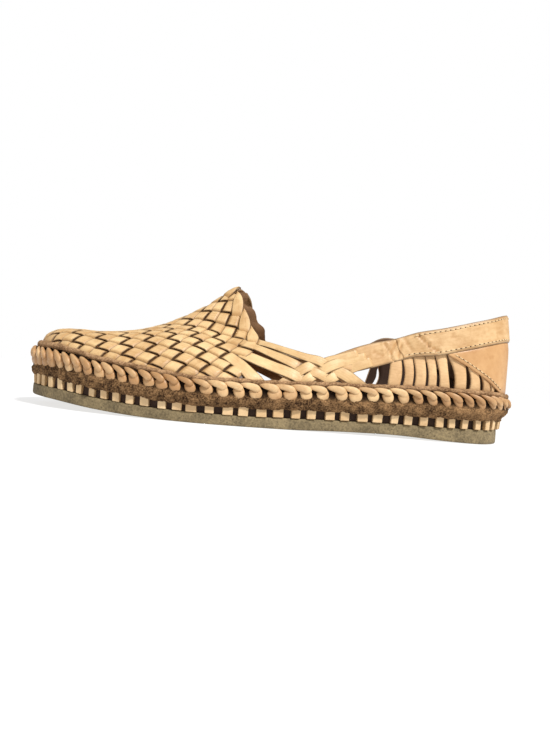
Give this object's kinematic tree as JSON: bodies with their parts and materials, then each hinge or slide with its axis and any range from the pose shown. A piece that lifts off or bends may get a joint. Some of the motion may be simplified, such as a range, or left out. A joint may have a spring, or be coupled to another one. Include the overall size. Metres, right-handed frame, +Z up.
{
  "type": "woven leather flat shoe",
  "caption": "Left slip-on flat with a woven leather vamp, crossed side straps, slotted quarters, a stitched heel band and counter, a braided rand and a crepe sole.",
  "frame": {"origin": "a point on the flat underside of the forefoot, on the plane that the shoe rests on, near the middle of its length", "axes": "X runs along the shoe from the toe (-X) to the heel (+X), -Y is the outer side of the left foot, +Z is up from the floor"},
  "size_m": [0.2656, 0.1005, 0.0727],
  "materials": {
    "crepe": "matte crepe rubber",
    "dark_leather": "dark undyed leather in shade",
    "suede": "brown suede, napped",
    "tan_leather": "natural vegetable-tanned leather, satin",
    "counter_leather": "darker vegetable-tanned leather, satin"
  },
  "bodies": {
    "root": {"outsole": "crepe", "midsole": "dark_leather", "insole": "dark_leather", "rand": "suede", "braid": "tan_leather", "upper": "tan_leather", "heel_band": "tan_leather", "heel_counter": "counter_leather"}
  },
  "joints": []
}
